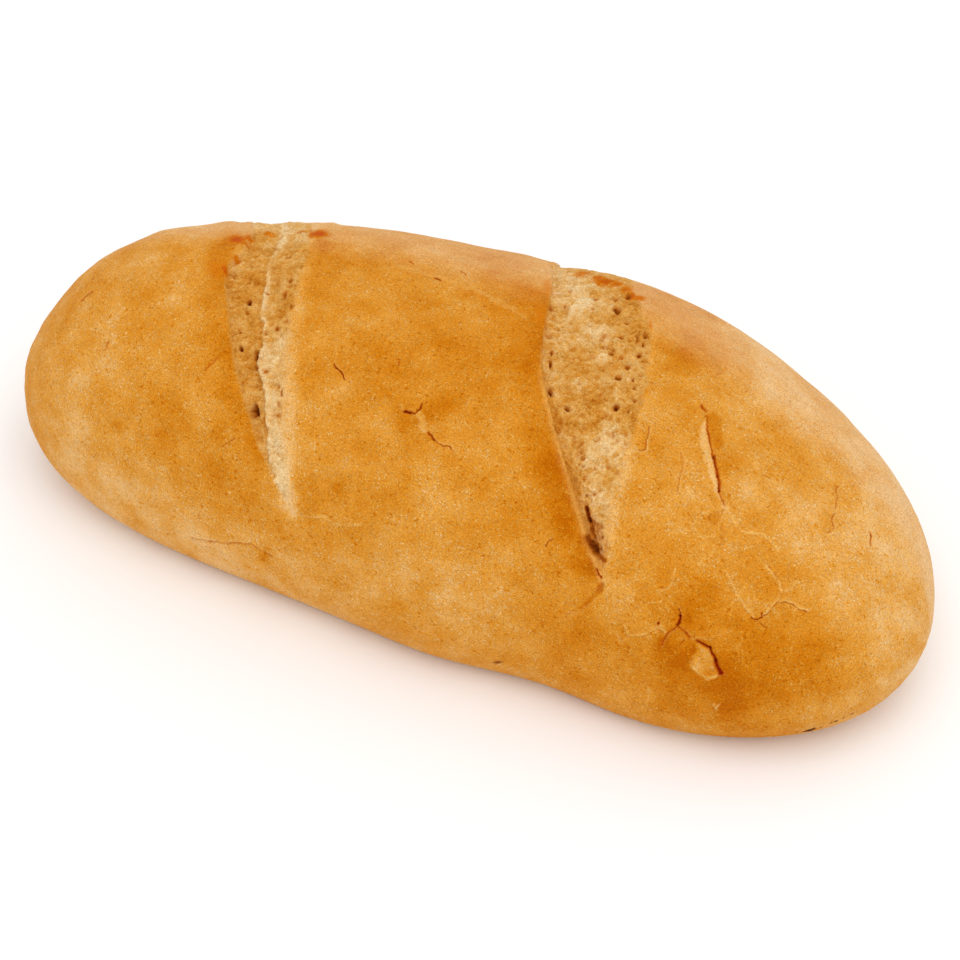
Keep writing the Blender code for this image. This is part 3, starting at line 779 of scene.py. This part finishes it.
# %% The small pores
SMALL_PORES = 150
SMALL_SIZES = (0.25, 0.8)           # radius in millimetres
scatter = np.random.default_rng(11)
in_crumb = np.flatnonzero(crumb > 0.6)
for middle in loaf_points[scatter.choice(in_crumb, SMALL_PORES, replace=False)]:
    radius = scatter.uniform(*SMALL_SIZES)
    near = np.flatnonzero(np.abs(loaf_points - middle).max(1) < 2 * radius)
    stretch = scatter.uniform(0.6, 1.4, 3)
    distance = np.linalg.norm((loaf_points[near] - middle) * stretch, axis=1) / radius * torn[near]
    raised[near] -= 0.7 * radius * ramp(1.2, 0.3, distance)
    # Painted shade inside the small pore
    painted_pore_shade[near] = np.maximum(painted_pore_shade[near], scatter.uniform(0.1, 0.8) * radius * ramp(1.0, 0.3, distance))

# %% The cracks
WIGGLES = ((3.2, 1.5), (1.3, 0.9), (0.6, 0.7))  # how long, in mm, and how wide, in pixels, a crack wanders
MARK_REACH = 16                     # pixels beside a mark beyond which it does nothing
painted_crack_shade = np.zeros(len(loaf_points))
flake_pale = np.zeros(len(loaf_points))
jitter = sum(
    wide * np.stack([waves(loaf_points, long, shift=5.0), waves(loaf_points, long, shift=9.0)], 1)
    for long, wide in WIGGLES
)
patchy = np.clip(0.75 + 1.0 * waves(loaf_points, 1.9, octaves=2, shift=21.0), 0.3, 1.1)


def close_to(mark):
    """The points that may lie within reach of a mark."""
    low_spot, high_spot = mark.line.min(0) - MARK_REACH, mark.line.max(0) + MARK_REACH
    return np.flatnonzero(((spots > low_spot) & (spots < high_spot)).all(1) & (shows > 0))


for crack in CRACKS + HOLLOWS:
    near = close_to(crack)
    distance, side = to_line(spots[near] + jitter[near], crack.line)
    distance /= PIXELS_PER_MM
    steepness = 4 if crack in HOLLOWS else 2
    groove = np.exp(-((distance / (crack.width / 2)) ** steepness)) * shows[near]
    groove *= patchy[near] + (1 - patchy[near]) * min(crack.dark, 1) * 0.8     # a dark one has fewer gaps
    raised[near] -= crack.depth * groove
    # Inside the groove the colour is darkened: painted shade in the crack
    darkened = painted_pore_shade if crack in HOLLOWS else painted_crack_shade
    darkened[near] = np.maximum(darkened[near], crack.dark * groove)
    beside = np.exp(-(((distance - 0.3 * crack.width - 0.8 * crack.edge) / crack.edge) ** 2))
    beside *= shows[near] * patchy[near] * (side > 0)
    raised[near] += crack.lift * beside
    flake_pale[near] = np.maximum(flake_pale[near], crack.pale * beside)

# %% The burnt spots
char = np.zeros(len(loaf_points))
in_sight = np.flatnonzero(shows > 0.5)
for x, y, radius, burnt in BURNT:
    middle = loaf_points[in_sight[np.argmin(np.hypot(*(spots[in_sight] - (x, y)).T))]]
    distance = np.linalg.norm(loaf_points - middle, axis=1) / radius * torn
    char = np.maximum(char, burnt * ramp(1.3, 0.4, distance))

# %% The flakes and chips
chip_brown = np.zeros(len(loaf_points))


def is_inside(places, line):
    """Whether each place lies inside a closed line."""
    inside = np.zeros(len(places), bool)
    for (x0, y0), (x1, y1) in zip(line, line[1:]):
        crosses = (y0 > places[:, 1]) != (y1 > places[:, 1])
        at = x0 + (x1 - x0) * (places[:, 1] - y0) / (y1 - y0 if y1 != y0 else 1)
        inside ^= crosses & (places[:, 0] < at)
    return inside


for flake in FLAKES:
    near = close_to(flake)
    places = spots[near] + jitter[near]
    distance = to_line(places, flake.line)[0] * np.where(is_inside(places, flake.line), 1, -1)
    share = ramp(-flake.soft, flake.soft, distance) * shows[near]
    raised[near] += flake.lift * share
    flake_pale[near] = np.maximum(flake_pale[near], flake.pale * share * (0.6 + 0.5 * patchy[near]))
    chip_brown[near] += flake.brown * share

# %% [markdown]
# ## Swells and dents
#
# No loaf is as regular as its curves. It has slow swells over its whole skin, some that the silhouette
# shows plainly, and fine wrinkles that run along it, where the dough was rolled. A sculpting brush could
# drag them up and down. Here each swell is a spot with a radius and a height, which can be checked.

# %% Swells
SWELLS = (  # where it shows in the photograph, its radius in pixels and its height in millimetres
    (690, 306, 60, 0.7), (850, 415, 60, -0.45), (534, 691, 30, 0.5), (495, 677, 18, -0.4),
    (60, 300, 26, -0.7), (38, 335, 14, -0.6), (163, 229, 14, 0.3), (205, 226, 18, -0.8),
    (345, 226, 26, -0.4), (490, 250, 60, -0.4), (800, 378, 30, -0.5), (545, 262, 12, -0.6),
    (116, 428, 10, -0.5), (545, 400, 16, 0.3), (705, 655, 22, 0.3), (253, 411, 20, -0.3),
    (412, 385, 9, 0.3), (240, 228, 12, -0.7), (244, 220, 7, -0.8), (290, 226, 18, -0.3),
    (307, 222, 8, -0.6), (319, 234, 5, 0.4), (332, 223, 5, 0.5), (240, 265, 12, -0.3), (551, 262, 4, -0.5),
    (604, 279, 8, 0.3), (590, 306, 14, 0.5), (285, 288, 5, 0.4), (250, 222, 4, -0.6), (556, 263, 5, -0.7),
)


def around(x, y, radius, places=spots):
    """1 at a spot of the photograph, falling to 0 about twice its radius away."""
    return np.exp(-(((places[:, 0] - x) ** 2 + (places[:, 1] - y) ** 2) / radius**2)) * shows_softly


for x, y, radius, height in SWELLS:
    raised += height * around(x, y, radius)
raised += 0.30 * waves(loaf_points, 34.0, shift=2.0) + 0.16 * waves(loaf_points, 11.0, octaves=2, shift=4.0)
streaked = loaf_points * (0.45, 1, 1)       # noise in these places is drawn out along the loaf
raised += (1 - crumb) * (0.09 * waves(streaked, 4.0, shift=6.0) + 0.08 * waves(streaked, 1.9, shift=8.0))

# %% The skin takes its shape
FLAT_ANGLES = (120, 95)             # the skin under the loaf stays flat up to here, and is free from here

on_crust = ramp(*FLAT_ANGLES, np.abs(loaf_angle))
shaped = loaf_points + outwards * (raised * on_crust)[:, None]
shaped[:, 2] = np.maximum(shaped[:, 2], 0)
skin.vertices.foreach_set("co", (shaped / 1000).ravel())
skin.update()
bpy.ops.object.shade_smooth()
print(f"{sum(len(face.vertices) - 2 for face in skin.polygons)} triangles")

# %% [markdown]
# ## How brown each place is
#
# Browning follows heat and thickness: most on the shoulders beside the slashes and on top, least where
# the loaf curves under, and none in the crumb. Along the far side of the crown, where it turns away, the
# colour is made paler as a painted sheen. All this could be painted on an unwrapped picture of
# the skin. Here it is worked out for every point and kept on the mesh as attributes, which the material
# reads, so it needs no picture and stays in step with the shape.

# %% Browning
SHOULDER_REACH = 8.0
TONES = (  # where it shows in the photograph, its radius in pixels, and how much browner (+) or paler (-)
    # Broad
    (780, 665, 80, 0.34), (680, 700, 60, 0.30), (600, 650, 55, 0.22), (440, 330, 90, 0.08),
    (500, 620, 60, 0.08), (700, 350, 30, 0.22), (80, 330, 60, -0.04), (870, 560, 60, -0.08),
    (700, 600, 30, 0.22), (545, 465, 28, 0.25), (500, 262, 26, 0.12), (760, 580, 25, 0.10),
    # The brown patches low on the right, and spots
    (730, 692, 32, 0.22), (664, 648, 16, 0.24), (662, 647, 7, 0.25), (684, 657, 5, 0.35),
    (682, 668, 6, 0.25), (694, 650, 4, 0.25), (722, 712, 10, 0.2), (740, 703, 9, 0.2), (689, 620, 6, 0.2),
    (645, 391, 5, 0.3), (727, 465, 12, 0.3), (828, 520, 9, 0.22), (338, 490, 7, 0.35), (116, 428, 6, 0.4),
    (224, 393, 9, 0.25), (218, 432, 9, 0.2), (205, 365, 7, 0.2), (163, 430, 12, 0.14), (570, 530, 16, 0.2),
    (430, 415, 12, 0.15), (300, 545, 10, 0.15), (265, 556, 5, 0.5), (448, 405, 14, 0.12),
    (570, 505, 16, 0.06), (790, 380, 40, -0.06),
    # Beside the scorched lips
    (218, 268, 10, 0.35), (233, 240, 10, 0.3), (324, 237, 9, 0.25), (606, 282, 10, 0.2),
    (632, 298, 9, 0.25), (546, 300, 9, 0.2), (540, 340, 10, 0.2), (655, 345, 6, 0.2), (404, 420, 9, 0.2),
    # Pale places
    (286, 500, 10, -0.6), (292, 512, 7, -0.5), (622, 590, 16, -0.16), (235, 250, 6, -0.2),
    (697, 664, 4, -0.2), (640, 470, 10, -0.12), (612, 560, 8, -0.12), (340, 240, 14, -0.2),
    (725, 509, 4, -0.35), (170, 262, 50, -0.08), (890, 655, 40, -0.30), (905, 610, 22, -0.10),
)

share = loaf_points[:, 0] / HALF_LENGTH
browning = np.full(len(loaf_points), 0.53) + chip_brown
browning -= 0.23 * ramp(50, 95, np.abs(loaf_angle))                     # where the loaf curves under
browning -= 0.06 * ramp(0.3, 1.0, -share)                               # the left end
browning -= 0.28 * ramp(0.3, 0.95, share) * ramp(70, 20, loaf_angle)    # the right end
crumb_tone += chip_brown
ragged = loaf_angle + 4 * waves(streaked, 9.0, octaves=2, shift=18.0)
painted_sheen_band = ramp(-10, -30, ragged) * ramp(-82, -58, ragged)    # painted sheen: a pale band along the far side of the crown, where it turns away
painted_sheen_band *= 0.9 + 0.3 * waves(streaked, 3.0, octaves=2, shift=19.0)
browning -= 0.22 * painted_sheen_band
for slash, browner in ((LEFT_SLASH, 0.27), (RIGHT_SLASH, 0.38)):
    from_left, from_right, _, depth = slash.read(loaf_points, loaf_angle)
    beside = np.exp(-((np.minimum(from_left, 0) / SHOULDER_REACH) ** 2)) * ramp(1.0, 0.0, from_left)
    browning += browner * beside * ramp(0.2, 1.5, depth) * ramp(-30, -5, loaf_angle)
for x, y, radius, browner in TONES:
    browning += browner * around(x, y, radius, spots + 2 * jitter)
browning -= 0.36 * blond
browning += 0.20 * waves(loaf_points, 26.0, octaves=2, shift=12.0)

# %% The scorched lips
scorch = np.zeros(len(loaf_points))
for x, y, wide, tall, strength in SCORCHED:
    off = (spots + 0.8 * jitter - (x, y)) / (0.7 * wide, 0.7 * tall)
    scorch = np.maximum(scorch, strength * ramp(1.5, 0.3, np.hypot(*off.T)) * shows)

# %% What the material will read
WEB_PLACES = ((760, 590, 90, 1.0), (650, 610, 60, 0.7))     # x, y, radius in pixels, and how dense
SOLE_ANGLES = (150, 168)            # between these the crust turns into the sole


def keep(name, values):
    """Keeps one number for each point on the mesh."""
    layer = skin.attributes.new(name, "FLOAT", "POINT")
    layer.data.foreach_set("value", np.clip(values, 0, 1).astype(np.float32))
    print(f"{name}: from {values.min():.2f} to {values.max():.2f}, {values.mean():.2f} on average")


for name, values in {
    "browning": browning, "crumb": crumb, "crumb_tone": crumb_tone, "lip_paleness_and_highlight": lip_paleness_and_highlight, "painted_pore_shade": painted_pore_shade,
    "crack": painted_crack_shade, "flake": flake_pale, "char": char, "scorch": scorch, "painted_sheen": painted_sheen_band,
    "web": 0.25 + 0.75 * np.max([much * around(x, y, radius) for x, y, radius, much in WEB_PLACES], axis=0),
    "sole": ramp(*SOLE_ANGLES, np.abs(loaf_angle)),
}.items():
    keep(name, values)

# %% [markdown]
# ## The finish
#
# Crust and crumb are the same dough, so they share their grain. Seen close up, a matt golden crust is
# full of fine things: specks of flour, tiny burst bubbles, short wrinkles, and a web of hairlines where
# it has cracked. All of it is finer than the faces of the skin, so it is made of noises, in a node group
# that crust and crumb both use. The crust's own colour then runs from blond to dark brown by browning and
# grain together, and the crumb's from cream to tan. What happened to a place, from a lifted flake to
# char, comes on top, and so does painted light: a sheen along the far side of the crown, a highlight on
# the pale lip, and shade inside pores, hollows and cracks. A dry crust hardly shines, so the finish is
# rough and almost without gloss.

# %% Helpers for nodes


def linear(colour):
    """A colour as the photograph shows it, 0 to 255, as the shader wants it."""
    share = np.array(colour) / 255
    return (*np.where(share < 0.04045, share / 12.92, ((share + 0.055) / 1.055) ** 2.4), 1.0)


def add(tree, kind, inputs=None, **settings):
    """A node with its settings made and its inputs filled with numbers or linked."""
    node = tree.nodes.new(kind)
    for name, value in settings.items():
        setattr(node, name, value)
    for name, value in (inputs or {}).items():
        if isinstance(value, bpy.types.NodeSocket):
            tree.links.new(value, node.inputs[name])
        else:
            node.inputs[name].default_value = value
    return node


def maths(tree, operation, first, second=0.5, clamp=False):
    return add(tree, "ShaderNodeMath", {0: first, 1: second}, operation=operation, use_clamp=clamp).outputs[0]


def mix(tree, share, first, second):
    return add(tree, "ShaderNodeMix", {0: share, 6: first, 7: second}, data_type="RGBA").outputs[2]


def attribute(tree, name):
    return add(tree, "ShaderNodeAttribute", attribute_name=name).outputs["Fac"]


def colour_ramp(tree, value, stops):
    node = add(tree, "ShaderNodeValToRGB", {0: value})
    while len(node.color_ramp.elements) < len(stops):
        node.color_ramp.elements.new(0.5)
    for element, (place, colour) in zip(node.color_ramp.elements, stops):
        element.position = place
        element.color = linear(colour)
    return node.outputs["Color"]


# %% The grain
GRAIN_PARTS = ("Fine", "Mottle", "Flecks", "Dots", "Wrinkles", "Web")


def make_grain():
    """Fine and Mottle swing around 0. The others go from 0 to 1 and are mostly 0."""
    group = bpy.data.node_groups.new("Dough grain", "ShaderNodeTree")
    group.interface.new_socket("Vector", in_out="INPUT", socket_type="NodeSocketVector")
    group.interface.new_socket("Fineness", in_out="INPUT", socket_type="NodeSocketFloat")
    for name in GRAIN_PARTS:
        group.interface.new_socket(name, in_out="OUTPUT", socket_type="NodeSocketFloat")
    entry = group.nodes.new("NodeGroupInput").outputs
    place = entry["Vector"]

    def cloud(share, detail, vector=place):
        """A noise that is this share as fine as the grain."""
        scale = maths(group, "MULTIPLY", entry["Fineness"], share)
        return add(group, "ShaderNodeTexNoise", {"Vector": vector, "Scale": scale, "Detail": detail}).outputs

    def above(value, level, steepness):
        return maths(group, "MULTIPLY", maths(group, "SUBTRACT", value, level), steepness, clamp=True)

    shifted = add(group, "ShaderNodeVectorMath", {0: place, 1: (3.0, 5.0, 7.0)}).outputs[0]
    fine = maths(group, "SUBTRACT", cloud(1.0, 1.0)["Fac"], 0.5)
    mottle = maths(group, "SUBTRACT", cloud(0.05, 7.0)["Fac"], 0.5)
    flecks = above(cloud(0.60, 1.0, shifted)["Fac"], 0.60, 10.0)
    dots = above(cloud(0.36, 2.0)["Fac"], 0.60, 9.0)

    # Wrinkles: thin lines where a noise crosses its middle value, in patches
    crossing = maths(group, "ABSOLUTE", maths(group, "SUBTRACT", cloud(0.24, 3.0, shifted)["Fac"], 0.5))
    wrinkles = maths(group, "SUBTRACT", 1.0, maths(group, "MULTIPLY", crossing, 20.0), clamp=True)
    wrinkles = maths(group, "MULTIPLY", wrinkles, above(cloud(0.09, 2.0)["Fac"], 0.40, 5.0))

    # The web: thin lines between cells whose walls are bent by a noise
    bend = add(group, "ShaderNodeVectorMath", {0: cloud(0.07, 4.0)["Color"], 1: (0.5, 0.5, 0.5)},
               operation="SUBTRACT")
    bend = add(group, "ShaderNodeVectorMath", {0: bend.outputs[0], "Scale": 0.012}, operation="SCALE")
    bent = add(group, "ShaderNodeVectorMath", {0: place, 1: bend.outputs[0]}).outputs[0]
    cells = maths(group, "MULTIPLY", entry["Fineness"], 0.035)
    walls = add(group, "ShaderNodeTexVoronoi", {"Vector": bent, "Scale": cells},
                feature="DISTANCE_TO_EDGE").outputs["Distance"]
    line = maths(group, "SUBTRACT", 1.0, maths(group, "MULTIPLY", walls, 30.0), clamp=True)
    web = maths(group, "MULTIPLY", line, above(cloud(0.06, 2.0, shifted)["Fac"], 0.45, 6.0))

    exits = group.nodes.new("NodeGroupOutput").inputs
    for name, value in zip(GRAIN_PARTS, (fine, mottle, flecks, dots, wrinkles, web)):
        group.links.new(value, exits[name])
    return group


grain_group = make_grain()


def add_grain(tree, vector, fineness):
    node = add(tree, "ShaderNodeGroup", node_tree=grain_group)
    tree.links.new(vector, node.inputs["Vector"])
    node.inputs["Fineness"].default_value = fineness
    return [node.outputs[name] for name in GRAIN_PARTS]


# %% The material of the loaf
CRUST_FINENESS = 2700.0
CRUMB_FINENESS = 2200.0
SPARKLE = (0.8, 1.1, 1.35)          # how much red, green and blue swing with the fine grain
BROAD_BUMP = {"Strength": 0.3, "Distance": 0.0012}
FINE_BUMP = {"Strength": 0.6, "Distance": 0.00035}
ROUGHNESS, GLOSS = 0.55, 0.02

# Colours as the photograph shows them, from 0 to 255
CRUST_COLOURS = (
    (0.0, (231, 183, 119)), (0.15, (226, 168, 90)), (0.3, (219, 153, 64)), (0.45, (214, 142, 46)),
    (0.6, (208, 131, 31)), (0.75, (201, 119, 15)), (0.9, (194, 109, 5)), (1.0, (184, 96, 1)),
)
CRUMB_COLOURS = (
    (0.0, (232, 198, 144)), (0.25, (223, 176, 110)), (0.5, (213, 155, 75)), (0.75, (201, 132, 44)),
    (1.0, (172, 95, 14)),
)
PAINTED_SHEEN_PALE, PALE_LIP_AND_HIGHLIGHT, PALE_FLAKE, SOLE = (232, 196, 158), (230, 168, 82), (236, 184, 100), (190, 126, 58)
STAINS_AND_SHADES = {                          # the colours of a half-stained place and of a fully stained one; scorch and char are real stains, the pore and crack entries painted shade
    "scorch": ((206, 116, 10), (188, 70, 1)),
    "painted_pore_shade": ((188, 108, 26), (112, 38, 3)),
    "crack": ((188, 92, 8), (132, 30, 3)),
    "char": ((140, 72, 14), (38, 20, 8)),
}


def plus(tree, value, *changes):
    """value with so much of each change added."""
    for change, amount in changes:
        value = maths(tree, "ADD", value, maths(tree, "MULTIPLY", change, amount))
    return value


def sparkle(tree, colour, fine):
    """The colour made lighter and darker by the fine grain."""
    swing = add(tree, "ShaderNodeVectorMath", {0: fine, 1: SPARKLE, 2: (1, 1, 1)},
                operation="MULTIPLY_ADD").outputs[0]
    return add(tree, "ShaderNodeVectorMath", {0: colour, 1: swing}, operation="MULTIPLY").outputs[0]


def stain_and_shade(tree, share, colour, light, dark):
    """The colour turned first to light and then to dark, so that a half-stained place stays warm."""
    first = maths(tree, "MULTIPLY", share, 2.0, clamp=True)
    second = maths(tree, "MULTIPLY", maths(tree, "SUBTRACT", share, 0.5), 2.0, clamp=True)
    return mix(tree, second, mix(tree, first, colour, light), dark)


def make_bread():
    material = bpy.data.materials.new("baked crust and crumb")
    material.use_nodes = True
    tree = material.node_tree
    shader = tree.nodes["Principled BSDF"]
    place = add(tree, "ShaderNodeTexCoord").outputs["Object"]
    fine, mottle, flecks, dots, wrinkles, web = add_grain(tree, place, CRUST_FINENESS)
    _, crumb_mottle, crumb_flecks, crumb_dots, crumb_wrinkles, _ = add_grain(tree, place, CRUMB_FINENESS)
    web = maths(tree, "MULTIPLY", web, attribute(tree, "web"))

    # Crust, from blond to brown
    tone = plus(tree, attribute(tree, "browning"), (mottle, 0.8), (dots, 0.36), (flecks, -0.33),
                (wrinkles, -0.26), (web, -0.42))
    crust = colour_ramp(tree, tone, CRUST_COLOURS)
    # The pale band along the far side of the crown is a painted sheen
    crust = mix(tree, maths(tree, "MULTIPLY", attribute(tree, "painted_sheen"), 0.25), crust, linear(PAINTED_SHEEN_PALE))

    # Crumb, from cream to tan
    tone = plus(tree, attribute(tree, "crumb_tone"), (crumb_mottle, 1.2), (crumb_dots, 0.2),
                (crumb_flecks, -0.2), (crumb_wrinkles, -0.12))
    colour = mix(tree, attribute(tree, "crumb"), crust, colour_ramp(tree, tone, CRUMB_COLOURS))

    # Then what happened to it, and painted light: a highlight on the pale lip, shade in pores, hollows and
    # cracks
    # The pale left lip: partly less browned crust, partly a painted highlight along its rounded edge
    colour = mix(tree, maths(tree, "MULTIPLY", attribute(tree, "lip_paleness_and_highlight"), 0.85), colour, linear(PALE_LIP_AND_HIGHLIGHT))
    colour = mix(tree, attribute(tree, "flake"), colour, linear(PALE_FLAKE))
    for name, (light, dark) in STAINS_AND_SHADES.items():
        colour = stain_and_shade(tree, attribute(tree, name), colour, linear(light), linear(dark))
    colour = mix(tree, attribute(tree, "sole"), colour, linear(SOLE))
    tree.links.new(sparkle(tree, colour, fine), shader.inputs["Base Color"])

    # The grain's own relief, broad and fine
    broad = add(tree, "ShaderNodeBump", {**BROAD_BUMP, "Height": mottle}).outputs["Normal"]
    relief = plus(tree, fine, (flecks, 0.6), (wrinkles, 0.6), (web, 0.9))
    both = add(tree, "ShaderNodeBump", {**FINE_BUMP, "Height": relief, "Normal": broad}).outputs["Normal"]
    tree.links.new(both, shader.inputs["Normal"])
    shader.inputs["Roughness"].default_value = ROUGHNESS
    shader.inputs["Specular IOR Level"].default_value = GLOSS
    return material


skin.materials.clear()
skin.materials.append(make_bread())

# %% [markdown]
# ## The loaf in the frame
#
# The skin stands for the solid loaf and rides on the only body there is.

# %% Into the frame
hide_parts("loaf")
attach(crust_skin, "root")

# %% [markdown]
# ## Floor and light
#
# A product picture is lit from all round, so that nothing is lost in shade: a bright even sky, one
# broad soft light from above and in front, and a pale floor that throws light back under the loaf.

# %% Floor
PAPER_WHITE = (0.96, 0.96, 0.96, 1)

bpy.ops.mesh.primitive_plane_add(size=8)
floor_plane = bpy.context.object
floor_plane.name = "floor"
paper = bpy.data.materials.new("pale floor")
paper.use_nodes = True
paper_shader = paper.node_tree.nodes["Principled BSDF"]
paper_shader.inputs["Base Color"].default_value = PAPER_WHITE
paper_shader.inputs["Roughness"].default_value = 0.9
paper_shader.inputs["Specular IOR Level"].default_value = 0.1
floor_plane.data.materials.append(paper)

# %% Light
SKY_WHITE, SKY_STRENGTH = (1, 1, 1, 1), 0.92
KEY_PLACE, KEY_SIZE, KEY_POWER = Vector((0.25, -0.3, 1.2)), 1.0, 4.5     # it looks at the frame's origin

world = bpy.data.worlds.new("studio")
world.use_nodes = True
sky = world.node_tree.nodes["Background"].inputs
sky["Color"].default_value = SKY_WHITE
sky["Strength"].default_value = SKY_STRENGTH
bpy.context.scene.world = world
bpy.ops.object.light_add(type="AREA", location=KEY_PLACE)
soft_key = bpy.context.object
soft_key.name = "soft key"
soft_key.data.size = KEY_SIZE
soft_key.data.energy = KEY_POWER
soft_key.rotation_euler = (-KEY_PLACE).to_track_quat("-Z", "Y").to_euler()
bpy.context.scene.view_settings.view_transform = "Standard"
